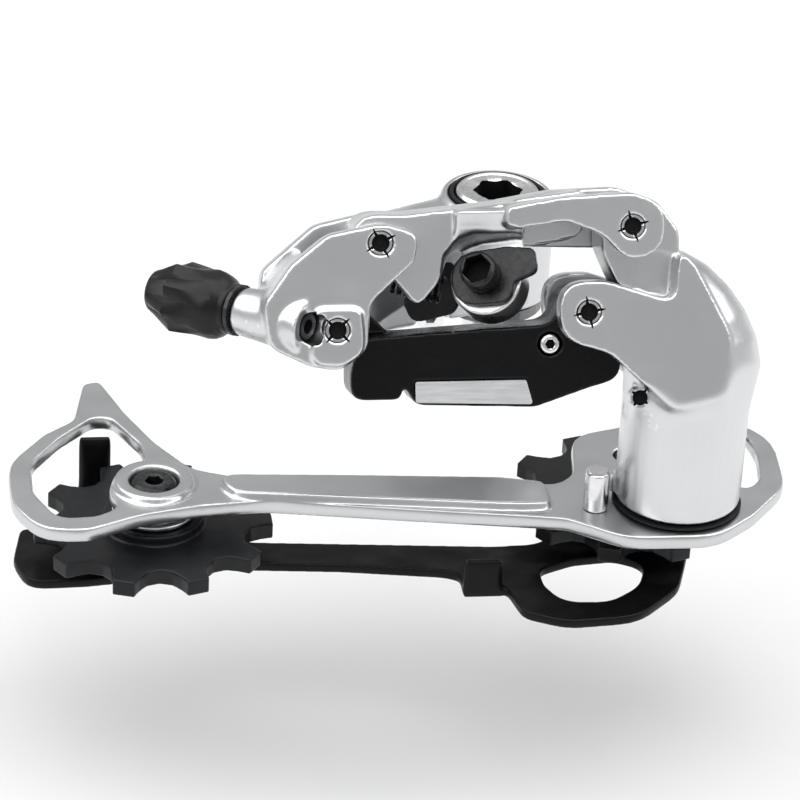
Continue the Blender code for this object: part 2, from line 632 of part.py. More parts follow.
def p_body_rings():
    """Upright round body that leans over towards the upper pin, in the linkage axes."""
    c, s = math.cos(SLANT), math.sin(SLANT)
    rings = []
    for radius, height in ((P_RADIUS - 0.4, P_BASE), (P_RADIUS, P_BASE + 0.4), (P_RADIUS, -8.0), (P_RADIUS, -1.0)):
        ring = []
        for x, y in circle(CAGE_AXIS, radius, P_SEGMENTS):
            up = height - LINKAGE_DROP
            ring.append((x, y * c - up * s, y * s + up * c))
        rings.append(ring)
    for x, z, half_width, lean in P_BODY:
        lean = math.radians(lean)
        rings.append([
            (x + half_width * across * math.cos(lean), P_BODY_MIDDLE + P_BODY_DEPTH * deep,
             z + half_width * across * math.sin(lean))
            for across, deep in circle((0, 0), 1.0, P_SEGMENTS)
        ])
    return rings


def make_p_knuckle(bodies):
    frame, slant = bodies["p_frame"], bodies["p_slant"]
    place = (*CAGE_AXIS, 0)
    knuckle = loft("p_knuckle", p_body_rings(), slant, (PIN_P1[0], 0, PIN_P1[1]))
    face = [(0, -30), (60, -30), (60, 50), (0, 50)]
    cut(knuckle, prism("p_front_face", face, FRONT[0] - 20, FRONT[0] + 0.02, slant, "Y"))
    cut(knuckle, prism("p_fork_room_front", P_FORK_ROOM, FRONT[0] - 10, MIDDLE[0] + 0.2, slant, "Y"))
    cut(knuckle, prism("p_fork_room_rear", P_FORK_ROOM, REAR[0] - 0.6, REAR[1] + 20, slant, "Y"))
    cut(knuckle, prism("p_link_room", P_LINK_ROOM, MIDDLE[0] - 0.25, REAR[0] - 0.65, slant, "Y"))
    join(knuckle, prism("p_front_arm", rounded(P_ARM), *FRONT, slant, "Y"))
    join(knuckle, prism("p_rear_arm", rounded(P_ARM), REAR[0] - 0.3, REAR[1] - 0.1, slant, "Y"))
    join(knuckle, prism("p_tower", rounded(P_TOWER), MIDDLE[0] + 0.3, REAR[0] - 0.8, slant, "Y"))
    reach = Vector((math.cos(math.radians(168)), math.sin(math.radians(168)), 0))
    side = Vector((-reach.y, reach.x, 0)) * 1.6
    near, far = reach * (P_RADIUS - 2), reach * 16.4
    corners = [near - side, far - side, far + side, near + side]
    lug = [(CAGE_AXIS[0] + c.x, CAGE_AXIS[1] + c.y) for c in corners]
    join(knuckle, prism("p_stop_lug", lug, P_BASE + 0.3, P_BASE + 3.4, frame))
    cut(knuckle, rod("p_spring_bore", P_RADIUS - 1.6, P_BASE - 2, -2.0, frame, place))
    cut(knuckle, rod("p_axle_bore", 4.3, -8, 1.4, frame, place))
    for number, pin in enumerate((PIN_P1, PIN_P2), 1):
        cut(knuckle, pin_rod("p_pin_bore_%d" % number, pin, PIN_BORE, (-60, -20), slant))
    cut(knuckle, rod("p_retainer_bore", 1.9, -3, 7.5, slant, RETAINER, (0, 1, 0), SMALL))
    finish(knuckle, "silver")


def make_p_inside(bodies):
    frame, cage = bodies["p_frame"], bodies["cage"]
    place = (*CAGE_AXIS, 0)
    screw = turned("spring_retaining_pin", [(0, -0.6), (1.6, -0.6), (1.6, 2.6), (0, 2.6)],
                   bodies["p_slant"], RETAINER, SMALL, way=(0, 1, 0))
    finish(screw, "dark_steel")
    seal = ring("p_seal_ring", 9.8, P_RADIUS + 0.3, OUTER_TOP + GAP, P_BASE - GAP, frame, place)
    finish(seal, "rubber")
    sleeve = ring("p_bushing", 4.3, 5.4, -18.6, -2.4, cage, place, segments=18)
    finish(sleeve, "dark_steel")
    spring = coil("p_spring", 7.3, 0.8, 6.5, -18.0, -4.0, cage, place)
    finish(spring, "dark_steel")


# ---------------------------------------------------------------- cage

def plate_ring(name, axis, radius, low, high, parent):
    return rod(name, radius, low, high, parent, (*axis, 0))


OUTER_PLATE = [
    (-74.0, 9.2, 1.2), (-70.6, 10.3, 1), (-66.6, -2.0, 3), (-62.0, -13.0, 8), (-56.0, -23.0, 6),
    (-46.0, -27.0, 8), (0.0, -30.0, 20), (9.0, -31.5, 6), (12.0, -27.5, 4), (14.0, -14.0, 6),
    (30.0, -9.0, 9), (45.0, -9.0, 9), (51.4, -17.0, 13), (50.0, -34.0, 12), (42.0, -44.0, 8),
    (34.0, -51.0, 11), (18.0, -50.8, 10), (8.5, -43.8, 3), (4.0, -43.0, 3), (-20.0, -39.2, 20),
    (-44.0, -35.2, 20), (-56.0, -36.4, 8), (-66.0, -39.0, 6), (-76.0, -43.8, 5), (-84.0, -43.0, 8),
    (-88.6, -34.0, 12), (-88.8, -20.0, 12), (-82.0, -9.6, 6), (-76.4, -4.6, 3),
]
OUTER_WINDOW = [
    (-72.8, -4.0, 1.5), (-69.5, -4.2, 1.5), (-64.9, -14.0, 4), (-64.2, -20.5, 2), (-70.0, -23.6, 5),
    (-71.6, -31.0, 5), (-69.4, -35.6, 3), (-74.0, -38.6, 3), (-80.4, -39.0, 3), (-84.4, -30.0, 8),
    (-84.4, -20.0, 8), (-79.0, -11.2, 5),
]
GUIDE_WINDOW = [
    (41.0, -12.2, 3), (46.2, -13.4, 4), (46.9, -22.0, 8), (45.6, -31.0, 5), (42.0, -35.6, 1.5),
    (38.6, -27.0, 9), (38.4, -19.0, 5),
]


def make_outer_plate(bodies):
    cage = bodies["cage"]
    low, high = OUTER_TOP - OUTER_THICK, OUTER_TOP
    origin = (*CAGE_AXIS, 0)
    plate = prism("outer_cage_plate", rounded(OUTER_PLATE, 3), low, high, cage, origin=origin)
    rib = [(-52.0, -27.2, 2), (-30.0, -28.4, 4), (-2.0, -30.4, 4), (6.0, -32.4, 1), (6.0, -40.6, 1),
           (-2.0, -40.2, 4), (-30.0, -36.6, 4), (-50.0, -34.2, 4)]
    join(plate, prism("outer_rib", rounded(rib, 2), low + 0.4, high + 1.4, cage))
    join(plate, plate_ring("outer_tension_boss", TENSION_AXIS, 7.2, low + 0.4, high + 1.2, cage))
    cut(plate, prism("outer_window", rounded(OUTER_WINDOW), low - 2, high + 3, cage))
    cut(plate, prism("outer_guide_window", rounded(GUIDE_WINDOW), low - 2, high + 3, cage))
    hole = AXLE_RADIUS + GAP
    cut(plate, turned("outer_bolt_hole", [
        (0, high + 3), (4.4, high + 3), (4.4, high - 1.0), (hole, high - 1.0), (hole, low - 2), (0, low - 2),
    ], cage, (*TENSION_AXIS, 0), 18))
    for name, axis, radius in (
        ("outer_guide_hole", GUIDE_AXIS, hole), ("outer_axle_hole", CAGE_AXIS, 3.3),
        ("outer_stop_hole", STOP_PIN, 1.6),
    ):
        cut(plate, rod(name, radius, low - 2, high + 3, cage, (*axis, 0), segments=SMALL))
    finish(plate, "silver")


INNER_PLATE = [
    (-75.6, -5.0, 1), (-69.0, -5.0, 1), (-65.0, -18.0, 4), (-60.0, -23.5, 5), (-44.0, -25.6, 8),
    (-2.0, -29.0, 6), (6.0, -28.6, 5), (11.6, -24.0, 5), (14.4, -14.6, 6), (30.0, -13.0, 8),
    (34.0, -24.0, 6), (33.2, -34.0, 5), (29.6, -45.0, 10), (20.6, -54.2, 10), (7.6, -55.4, 9),
    (0.0, -51.6, 4), (-2.0, -42.0, 3), (-12.0, -37.4, 4), (-30.0, -34.6, 8), (-54.0, -32.6, 8),
    (-62.0, -35.4, 4), (-76.0, -37.4, 6), (-86.0, -37.6, 4), (-88.4, -30.0, 8), (-86.6, -18.6, 1.5),
    (-80.0, -20.0, 5),
]
INNER_WINDOW = [
    (5.4, -37.8, 2), (12.0, -34.6, 5), (19.5, -33.6, 4), (24.6, -36.6, 3), (22.0, -44.0, 8),
    (16.0, -48.8, 6), (8.0, -48.2, 4), (5.6, -43.0, 4),
]


def make_inner_plate(bodies):
    cage = bodies["cage"]
    low, high = INNER_TOP - INNER_THICK, INNER_TOP
    origin = (*CAGE_AXIS, 0)
    plate = prism("inner_cage_plate", rounded(INNER_PLATE), low, high, cage, origin=origin)
    guard = [(-9.5, -44.0), (-2.2, -44.0), (-2.2, -42.2), (-9.5, -42.2)]
    join(plate, prism("inner_guard_tab", guard, low, high + 5.6, cage))
    fence = [(-75.5, -6.7), (-69.2, -6.7), (-69.2, -5.1), (-75.5, -5.1)]
    join(plate, prism("inner_chain_fence", fence, low, OUTER_TOP - OUTER_THICK - 0.5, cage))
    root = [(-9.5, -44.0), (-2.2, -44.0), (-2.2, -36.0), (-9.5, -36.0)]
    join(plate, prism("inner_guard_root", root, low, high, cage))
    cut(plate, prism("inner_window", rounded(INNER_WINDOW), low - 2, high + 2, cage))
    for name, axis in (("inner_tension_hole", TENSION_AXIS), ("inner_guide_hole", GUIDE_AXIS)):
        cut(plate, rod(name, AXLE_RADIUS + GAP, low - 2, high + 2, cage, (*axis, 0), segments=SMALL))
    finish(plate, "black_metal")


def make_axle_and_stop(bodies):
    cage = bodies["cage"]
    low = OUTER_TOP - OUTER_THICK
    axle = turned("cage_axle", [
        (0, 0.6), (3.3, 0.6), (4.0, 0.0), (4.0, OUTER_TOP + GAP), (3.0, OUTER_TOP + GAP),
        (3.0, low + 0.2), (0, low + 0.2),
    ], cage, (*CAGE_AXIS, 0), 18)
    finish(axle, "polished")
    top = OUTER_TOP + STOP_PIN_HEIGHT
    pin = turned("cage_stop_pin", [
        (0, top), (STOP_PIN_RADIUS - 0.5, top), (STOP_PIN_RADIUS, top - 0.5),
        (STOP_PIN_RADIUS, OUTER_TOP + GAP), (1.3, OUTER_TOP + GAP), (1.3, low + 0.2), (0, low + 0.2),
    ], cage, (*STOP_PIN, 0), 18)
    finish(pin, "polished")


def tooth_outline(axis):
    """Sprocket outline: a roller seat between each two teeth."""
    pitch_radius = CHAIN_PITCH / (2 * math.sin(math.pi / TEETH))
    seat_half = math.radians(66)
    seat_steps = 4
    outline = []
    for tooth in range(TEETH):
        middle = math.tau * tooth / TEETH - math.pi / 2
        centre = Vector(axis) + Vector((math.cos(middle), math.sin(middle))) * pitch_radius
        for step in range(seat_steps + 1):
            angle = middle + math.pi + seat_half - 2 * seat_half * step / seat_steps
            outline.append(centre + Vector((math.cos(angle), math.sin(angle))) * ROLLER_SEAT)
        tip = middle + math.pi / TEETH
        for angle in (tip - TIP_HALF_ANGLE, tip + TIP_HALF_ANGLE):
            outline.append(Vector(axis) + Vector((math.cos(angle), math.sin(angle))) * TOOTH_TIP)
    return outline


def make_pulley(prefix, axis, bodies, head_outboard):
    cage, wheel = bodies["cage"], bodies[prefix + "_pulley"]
    place = (*axis, 0)
    middle = PULLEY_MIDDLE
    pulley = prism(prefix + "_pulley", tooth_outline(axis), middle - TOOTH_WIDTH / 2,
                   middle + TOOTH_WIDTH / 2, wheel, origin=place)
    join(pulley, plate_ring(prefix + "_hub", axis, HUB_RADIUS, middle - HUB_HALF, middle + HUB_HALF, wheel))
    cut(pulley, rod(prefix + "_hub_bore", 4.2, middle - 6, middle + 6, wheel, place, segments=18))
    finish(pulley, "pulley")
    sleeve = ring(prefix + "_pulley_bushing", *SLEEVE, INNER_TOP + GAP, OUTER_TOP - OUTER_THICK - GAP,
                  cage, place, segments=18)
    finish(sleeve, "polished")
    for side, name in ((1, "_outer_dust_cap"), (-1, "_inner_dust_cap")):
        edges = sorted((middle + side * (HUB_HALF + GAP), middle + side * (HUB_HALF + 1.2)))
        cap = ring(prefix + name, *CAP_RADIUS, *edges, cage, place, segments=18)
        finish(cap, "polished")
    inner_face = INNER_TOP - INNER_THICK
    if head_outboard:
        seat, end, out = OUTER_TOP - 0.7, inner_face - 0.4, 1
    else:
        seat, end, out = inner_face - GAP, OUTER_TOP - 0.2, -1
    head = seat + out * 1.7
    bolt = turned(prefix + "_pulley_bolt", [
        (0, head), (3.7, head), (4.1, head - out * 0.4), (4.1, seat), (AXLE_RADIUS, seat),
        (AXLE_RADIUS, end), (0, end),
    ], cage, place, 18)
    low, high = sorted((seat - out * 0.8, head + out))
    socket = hexagon_rod(prefix + "_bolt_socket", 3.0, low, high, cage, place)
    finish(cut(bolt, socket), "dark_steel")


# ---------------------------------------------------------------- assembly

def pivot(name, parent, place):
    """Empty on a joint's axis; what hangs on it is still drawn in its parent's axes."""
    joint = empty(name, parent, place)
    return empty(name + "_frame", joint, [-value for value in place])


def make_bodies():
    """Empties on the joint axes; every moving piece hangs on one of them."""
    slant_turn = Matrix.Rotation(-SLANT, 3, "X").to_quaternion()
    drop = (0, 0, LINKAGE_DROP)
    upper_place = (PIN_B1[0], 0, PIN_B1[1])
    bodies = {"b_frame": empty("b_knuckle_axis")}
    bodies["b_slant"] = empty("linkage_upper", bodies["b_frame"], drop, slant_turn)
    bodies["outer_link"] = pivot("outer_link_axis", bodies["b_slant"], upper_place)
    bodies["inner_link"] = pivot("inner_link_axis", bodies["b_slant"], (PIN_B2[0], 0, PIN_B2[1]))
    bodies["clamp"] = empty("clamp_axis", bodies["outer_link"], CLAMP_HEAD, facing(CLAMP_WAY))
    bodies["p_slant"] = pivot("p_knuckle_axis", bodies["outer_link"], (PIN_P1[0], 0, PIN_P1[1]))
    raised = slant_turn.inverted() @ Vector((0, 0, -LINKAGE_DROP))
    bodies["p_frame"] = empty("p_knuckle_upright", bodies["p_slant"], raised, slant_turn.inverted())
    bodies["cage"] = pivot("cage_axis", bodies["p_frame"], (*CAGE_AXIS, 0))
    bodies["guide_pulley"] = pivot("guide_pulley_axis", bodies["cage"], (*GUIDE_AXIS, 0))
    bodies["tension_pulley"] = pivot("tension_pulley_axis", bodies["cage"], (*TENSION_AXIS, 0))
    adjuster_turn = Vector((0, 0, 1)).rotation_difference(Vector(ADJUSTER_WAY))
    bodies["adjuster_seat"] = empty("adjuster_axis", bodies["b_slant"], ADJUSTER_START, adjuster_turn)
    bodies["adjuster_slide"] = empty("adjuster_travel", bodies["adjuster_seat"])
    bodies["adjuster_turn"] = empty("adjuster_knob_axis", bodies["adjuster_slide"])
    return bodies


def main():
    clear_scene()
    bodies = make_bodies()
    make_mounting_bolt()
    make_stop_plate()
    make_b_inside(bodies["b_frame"])
    make_b_knuckle(bodies)
    make_b_tension_screw(bodies)
    make_pins(bodies)
    make_adjuster(bodies)
    make_outer_link(bodies)
    make_clamp(bodies)
    make_inner_link(bodies)
    make_limit_screws(bodies)
    make_return_spring(bodies)
    make_p_knuckle(bodies)
    make_p_inside(bodies)
    make_outer_plate(bodies)
    make_inner_plate(bodies)
    make_axle_and_stop(bodies)
    make_pulley("guide", GUIDE_AXIS, bodies, head_outboard=False)
    make_pulley("tension", TENSION_AXIS, bodies, head_outboard=True)


main()
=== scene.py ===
"""Looks of the rear derailleur: finishes, softened castings and finely turned parts around the model."""

import json
import math

import bmesh
import bpy
from mathutils import Matrix, Vector
from mathutils.kdtree import KDTree


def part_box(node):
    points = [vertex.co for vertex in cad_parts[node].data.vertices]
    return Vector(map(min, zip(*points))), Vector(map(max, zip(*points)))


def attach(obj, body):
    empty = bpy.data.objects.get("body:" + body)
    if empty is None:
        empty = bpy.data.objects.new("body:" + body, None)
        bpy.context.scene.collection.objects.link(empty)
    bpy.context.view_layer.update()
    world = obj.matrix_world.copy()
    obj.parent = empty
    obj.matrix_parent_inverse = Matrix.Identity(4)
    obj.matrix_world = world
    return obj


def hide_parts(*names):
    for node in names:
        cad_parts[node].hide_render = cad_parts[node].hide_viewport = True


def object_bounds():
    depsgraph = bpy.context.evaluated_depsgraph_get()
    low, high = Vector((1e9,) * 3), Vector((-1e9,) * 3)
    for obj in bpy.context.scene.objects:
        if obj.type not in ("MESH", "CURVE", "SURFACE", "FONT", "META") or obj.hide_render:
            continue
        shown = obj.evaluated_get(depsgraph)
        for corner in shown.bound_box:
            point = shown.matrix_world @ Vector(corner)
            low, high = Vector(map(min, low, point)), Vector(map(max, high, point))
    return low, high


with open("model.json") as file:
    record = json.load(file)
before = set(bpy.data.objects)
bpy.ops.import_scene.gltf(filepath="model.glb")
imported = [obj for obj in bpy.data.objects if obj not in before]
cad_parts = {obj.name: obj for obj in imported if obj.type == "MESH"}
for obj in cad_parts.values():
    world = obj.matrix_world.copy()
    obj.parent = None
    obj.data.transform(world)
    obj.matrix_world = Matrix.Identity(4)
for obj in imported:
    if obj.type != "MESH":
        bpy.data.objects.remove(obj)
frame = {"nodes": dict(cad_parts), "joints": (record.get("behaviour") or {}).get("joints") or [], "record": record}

CAD_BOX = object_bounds()
MM = 0.001
MERGE_DISTANCE = 0.001 * MM
UP = Vector((0, 0, 1))
ALONG = Vector((1, 0, 0))
JOINTS = {joint["name"]: joint for joint in frame["joints"]}
NODES = frame["nodes"]
OWNER = {node: body for body, members in frame["record"]["behaviour"]["bodies"].items() for node in members}


# ---------------------------------------------------------------- linkage frame

LINKAGE_DROP = -12.4
PIN_WAY = Vector(JOINTS["parallelogram_swing"]["axis"])
SLANTED = Matrix((ALONG, PIN_WAY, ALONG.cross(PIN_WAY))).transposed().to_4x4()
CLAMP_WAY = SLANTED.to_3x3() @ Vector((-0.38, -0.85, 0.366)).normalized()
KNOB_WAY = Vector(JOINTS["adjuster_turn"]["axis"])


def facing(place, way):
    """Matrix that stands local Z along way at a place."""
    turn = UP.rotation_difference(Vector(way))
    return Matrix.Translation(place) @ turn.to_matrix().to_4x4()


def linkage(x, y, z):
    """A point of the slanted linkage, in its own millimetres, as a place in the row frame."""
    return SLANTED.to_3x3() @ Vector((x, y, z)) * MM + Vector((0, 0, LINKAGE_DROP * MM))


def corners(node):
    return [vertex.co for vertex in NODES[node].data.vertices]


def extent(node, way):
    """Lowest and highest reach of a node along a direction."""
    reach = [co.dot(way) for co in corners(node)]
    return min(reach), max(reach)


def centre(node):
    low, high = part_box(node)
    return (low + high) / 2


# ---------------------------------------------------------------- materials

class Nodes:
    """Short way to build a node tree."""

    def __init__(self, name):
        self.material = bpy.data.materials.new(name)
        self.material.use_nodes = True
        self.tree = self.material.node_tree
        self.shader = self.tree.nodes["Principled BSDF"]
        self.coords = self.add("ShaderNodeTexCoord").outputs["Object"]

    def add(self, kind, **settings):
        node = self.tree.nodes.new(kind)
        for key, value in settings.items():
            setattr(node, key, value)
        return node

    def link(self, source, target):
        self.tree.links.new(source, target)

    def set(self, **values):
        for key, value in values.items():
            self.shader.inputs[key.replace("_", " ")].default_value = value

    def noise(self, scale, detail=3.0, roughness=0.55, stretch=None):
        coords = self.coords
        if stretch:
            mapping = self.add("ShaderNodeMapping")
            mapping.inputs["Scale"].default_value = stretch
            self.link(coords, mapping.inputs["Vector"])
            coords = mapping.outputs["Vector"]
        node = self.add("ShaderNodeTexNoise")
        node.inputs["Scale"].default_value = scale
        node.inputs["Detail"].default_value = detail
        node.inputs["Roughness"].default_value = roughness
        self.link(coords, node.inputs["Vector"])
        return node.outputs["Fac"]

    def spread(self, source, low, high, start=0.3, end=0.7):
        node = self.add("ShaderNodeMapRange")
        for key, value in (("From Min", start), ("From Max", end), ("To Min", low), ("To Max", high)):
            node.inputs[key].default_value = value
        self.link(source, node.inputs["Value"])
        return node.outputs["Result"]

    def blend(self, factor, dark, light):
        node = self.add("ShaderNodeMix", data_type="RGBA")
        self.link(factor, node.inputs["Factor"])
        for socket, value in ((node.inputs[6], dark), (node.inputs[7], light)):
            if isinstance(value, tuple):
                socket.default_value = (*value, 1.0)
            else:
                self.link(value, socket)
        return node.outputs[2]

    def edges(self, start=0.515, end=0.62):
        """1 on raised edges of a finely divided mesh."""
        geometry = self.add("ShaderNodeNewGeometry")
        return self.spread(geometry.outputs["Pointiness"], 0.0, 1.0, start, end)

    def maths(self, operation, one, two):
        node = self.add("ShaderNodeMath", operation=operation, use_clamp=True)
        for socket, value in ((node.inputs[0], one), (node.inputs[1], two)):
            if isinstance(value, (int, float)):
                socket.default_value = value
            else:
                self.link(value, socket)
        return node.outputs[0]

    def bump(self, height, depth, strength=1.0):
        node = self.add("ShaderNodeBump")
        for link in self.shader.inputs["Normal"].links:
            self.link(link.from_socket, node.inputs["Normal"])
        node.inputs["Strength"].default_value = strength
        node.inputs["Distance"].default_value = depth
        self.link(height, node.inputs["Height"])
        self.link(node.outputs["Normal"], self.shader.inputs["Normal"])

    def colour(self, source):
        self.link(source, self.shader.inputs["Base Color"])

    def rough(self, source):
        self.link(source, self.shader.inputs["Roughness"])


def cast_silver(name, dark=(0.66, 0.67, 0.68), light=(0.69, 0.70, 0.71), rough=(0.29, 0.33)):
    """Bead-blasted and anodised aluminium, a little smoother along its raised edges, which also get a painted
    highlight in their colour.
    """
    n = Nodes(name)
    n.set(Metallic=1.0)
    cloud = n.noise(60, 3)
    edge_highlight = n.edges()
    satin = n.blend(n.spread(cloud, 0, 1), dark, light)
    # Painted highlight: raised edges are mixed towards near-white.
    n.colour(n.blend(n.maths("MULTIPLY", edge_highlight, 0.5), satin, (0.84, 0.84, 0.85)))
    base = n.spread(n.noise(1800, 3), rough[0], rough[1])
    n.rough(n.maths("SUBTRACT", base, n.maths("MULTIPLY", edge_highlight, 0.06)))
    n.bump(n.noise(70, 1), 0.0009)
    n.bump(n.noise(5200, 2), 0.000004, 0.2)
    return n.material


def turned_metal(name, dark, light, rough, metallic=1.0, lines=2600):
    """Machined or rolled metal with fine tool marks and a little handling wear in random lighter patches; its
    raised edges get a painted highlight.
    """
    n = Nodes(name)
    n.set(Metallic=metallic)
    worn = n.noise(700, 5, 0.65)
    # Lighter colour from random worn patches, and a painted highlight on raised edges.
    wear_and_edge_highlight = n.maths("MAXIMUM", n.spread(worn, 0, 0.8, 0.4, 0.75), n.edges(0.51, 0.58))
    n.colour(n.blend(wear_and_edge_highlight, dark, light))
    n.rough(n.spread(n.noise(1500, 3), rough[0], rough[1]))
    n.bump(n.noise(lines, 2, stretch=(1, 1, 6)), 0.000012, 0.3)
    return n.material


def gloss_black(name, coat=0.6, rough=(0.2, 0.3)):
    """Enamel over steel, with a slight orange peel; its raised edges get a painted highlight."""
    n = Nodes(name)
    n.set(Metallic=0.0, Coat_Weight=coat, Coat_Roughness=0.08, IOR=1.4, Specular_IOR_Level=0.2)
    # Painted highlight: raised edges are lighter grey.
    n.colour(n.blend(n.edges(0.53, 0.62), (0.003, 0.003, 0.0035), (0.10, 0.10, 0.105)))
    n.rough(n.spread(n.noise(900, 3), *rough))
    n.bump(n.noise(120, 1), 0.0012)
    n.bump(n.noise(900, 2), 0.000006, 0.2)
    return n.material


def moulded(name, dark, light, rough=(0.38, 0.55), grain=3800, depth=0.000015):
    """Glass-filled moulded plastic, lighter in random worn patches, with a painted highlight on its edges."""
    n = Nodes(name)
    n.set(Specular_IOR_Level=0.28)
    # Random worn patches, plus a painted highlight on the edges.
    rubbed_and_edge_highlight = n.maths("MAXIMUM", n.edges(0.51, 0.6), n.spread(n.noise(260, 5), 0, 0.35))
    n.colour(n.blend(rubbed_and_edge_highlight, dark, light))
    n.rough(n.spread(n.noise(500, 4), rough[0], rough[1]))
    n.bump(n.noise(grain, 3), depth, 0.6)
    return n.material


def plain_label(name):
    """Blank printed label: brushed grey foil."""
    n = Nodes(name)
    n.set(Metallic=0.35)
    brushed = n.noise(800, 3, stretch=(0.2, 1, 3))
    n.colour(n.blend(n.spread(brushed, 0, 1), (0.46, 0.47, 0.48), (0.62, 0.63, 0.64)))
    n.rough(n.spread(n.noise(600, 3), 0.32, 0.5))
    n.bump(n.noise(2600, 2), 0.000006, 0.3)
    return n.material


SILVER = cast_silver("satin_silver")
SILVER_PLATE = cast_silver("plate_silver", (0.60, 0.61, 0.62), (0.64, 0.65, 0.66), (0.28, 0.32))
POLISHED = turned_metal("polished_steel", (0.76, 0.76, 0.77), (0.88, 0.88, 0.89), (0.2, 0.28))
DARK_STEEL = turned_metal("dark_steel", (0.05, 0.05, 0.052), (0.2, 0.2, 0.205), (0.28, 0.42))
PIN_FACE = turned_metal("pin_face", (0.5, 0.5, 0.51), (0.66, 0.66, 0.67), (0.26, 0.34))
# Near-black, almost unreflective metal: painted shade for pin pits, hex sockets and chisel grooves.
PAINTED_SHADE_BLACK = turned_metal("pin_pit_painted_shade", (0.002, 0.002, 0.002), (0.006, 0.006, 0.006), (0.6, 0.75), 0.0)
PAINTED_SHADE_BLACK.node_tree.nodes["Principled BSDF"].inputs["Specular IOR Level"].default_value = 0.15
BLACK_OXIDE = turned_metal("black_oxide", (0.006, 0.006, 0.007), (0.03, 0.03, 0.032), (0.22, 0.34), 0.4)
ENAMEL = gloss_black("gloss_enamel", 0.16, (0.25, 0.32))
SATIN_BLACK = gloss_black("satin_enamel", 0.06, (0.36, 0.46))
KNOB = moulded("knob_plastic", (0.003, 0.003, 0.0035), (0.012, 0.012, 0.013), (0.3, 0.4))
PULLEY = moulded("pulley_plastic", (0.004, 0.0045, 0.0055), (0.016, 0.017, 0.019), (0.32, 0.44))
RUBBER = moulded("seal_rubber", (0.004, 0.004, 0.004), (0.012, 0.012, 0.012), (0.55, 0.75))
LABEL = plain_label("label_foil")

FINISH = {
    "silver_aluminium": SILVER, "polished_steel": POLISHED, "dark_steel": DARK_STEEL,
    "black_oxide": BLACK_OXIDE, "black_enamel": ENAMEL, "knob_plastic": KNOB,
    "pulley_plastic": PULLEY, "seal_rubber": RUBBER, "label": LABEL,
}
SLOT_OF = {part["node"]: part["material_slot"] for part in frame["record"]["subparts"]}


# ---------------------------------------------------------------- pieces

def place_piece(obj, node, material=None):
    """Let a piece stand for a CAD node: same body, same slot."""
    obj.data.materials.clear()
    obj.data.materials.append(material or FINISH[SLOT_OF[node]])
    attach(obj, OWNER[node])
    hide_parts(node)
    return obj


def new_object(name, bm, matrix=Matrix.Identity(4), sharp=40):
    bmesh.ops.recalc_face_normals(bm, faces=bm.faces)
    mesh = bpy.data.meshes.new(name)
    bm.to_mesh(mesh)
    bm.free()
    mesh.transform(matrix)
    mesh.shade_smooth()
    mesh.set_sharp_from_angle(angle=math.radians(sharp))
    obj = bpy.data.objects.new(name, mesh)
    bpy.context.scene.collection.objects.link(obj)
    return obj


def applied(obj):
    """Object whose modifiers have become its mesh."""
    depsgraph = bpy.context.evaluated_depsgraph_get()
    mesh = bpy.data.meshes.new_from_object(obj.evaluated_get(depsgraph))
    obj.modifiers.clear()
    obj.data = mesh
    return obj


def drop(obj):
    bpy.data.objects.remove(obj, do_unlink=True)


MELT_REACH = 5
MELT_ROUNDS = 160
LINE_STEPS = 20


def melt_weights(obj, line, reach):
    """Vertex group that is 1 along a line of points and fades out over reach."""
    tree = KDTree(len(line) * LINE_STEPS)
    for index, (start, end) in enumerate(zip(line, line[1:])):
        for step in range(LINE_STEPS):
            point = Vector(start).lerp(Vector(end), step / (LINE_STEPS - 1))
            tree.insert(point * MM, index * LINE_STEPS + step)
    tree.balance()
    group = obj.vertex_groups.new(name="melt")
    for vertex in obj.data.vertices:
        distance = tree.find(vertex.co)[2] / (reach * MM)
        if distance < 1:
            group.add([vertex.index], (1 - distance * distance) ** 2, "REPLACE")


def smoothed(obj, rounds, factor=0.5, axes=(True, True, True), group=""):
    """Smooth the mesh in place, along chosen axes of the object."""
    smooth = obj.modifiers.new("smooth", "SMOOTH")
    smooth.factor = factor
    smooth.iterations = rounds
    smooth.use_x, smooth.use_y, smooth.use_z = axes
    smooth.vertex_group = group
    return applied(obj)


def softened(node, voxel, rounds, material=None, plate=None, outline=1.4, melt=()):
    """The CAD node's shape, with its outline evened within the plate's plane and its edges rounded."""
    bm = bmesh.new()
    bm.from_mesh(NODES[node].data)
    bmesh.ops.remove_doubles(bm, verts=bm.verts, dist=MERGE_DISTANCE)
    obj = new_object(node + "_cast", bm)
    remesh = obj.modifiers.new("remesh", "REMESH")
    remesh.mode = "VOXEL"
    remesh.voxel_size = voxel * MM
    applied(obj)
    if plate:
        obj.data.transform(plate.inverted())
        smoothed(obj, round((2 * outline / voxel) ** 2), axes=(True, True, False))
        obj.data.transform(plate)
    smoothed(obj, rounds)
    if melt:
        melt_weights(obj, melt, MELT_REACH)
        smoothed(obj, MELT_ROUNDS, 1.0, group="melt")
    obj.data.shade_smooth()
    return place_piece(obj, node, material)


def polar(profile, segments, dent=None):
    """Surface turned from (radius, height) points; dent may change a point's radius and height."""
    bm = bmesh.new()
    loops = []
    for step, (radius, height) in enumerate(profile):
        if radius < 0.001:
            loops.append([bm.verts.new((0, 0, height * MM))])
            continue
        loop = []
        for i in range(segments):
            angle = math.tau * i / segments
            r, h = dent(angle, step, radius, height) if dent else (radius, height)
            loop.append(bm.verts.new((r * math.cos(angle) * MM, r * math.sin(angle) * MM, h * MM)))
        loops.append(loop)
    pairs = list(zip(loops, loops[1:]))
    if len(loops[0]) > 1 and len(loops[-1]) > 1:
        pairs.append((loops[-1], loops[0]))
    for one, two in pairs:
        for i in range(segments):
            j = (i + 1) % segments
            ring = [one[i % len(one)], one[j % len(one)], two[j % len(two)], two[i % len(two)]]
            bm.faces.new(list(dict.fromkeys(ring)))
    return bm


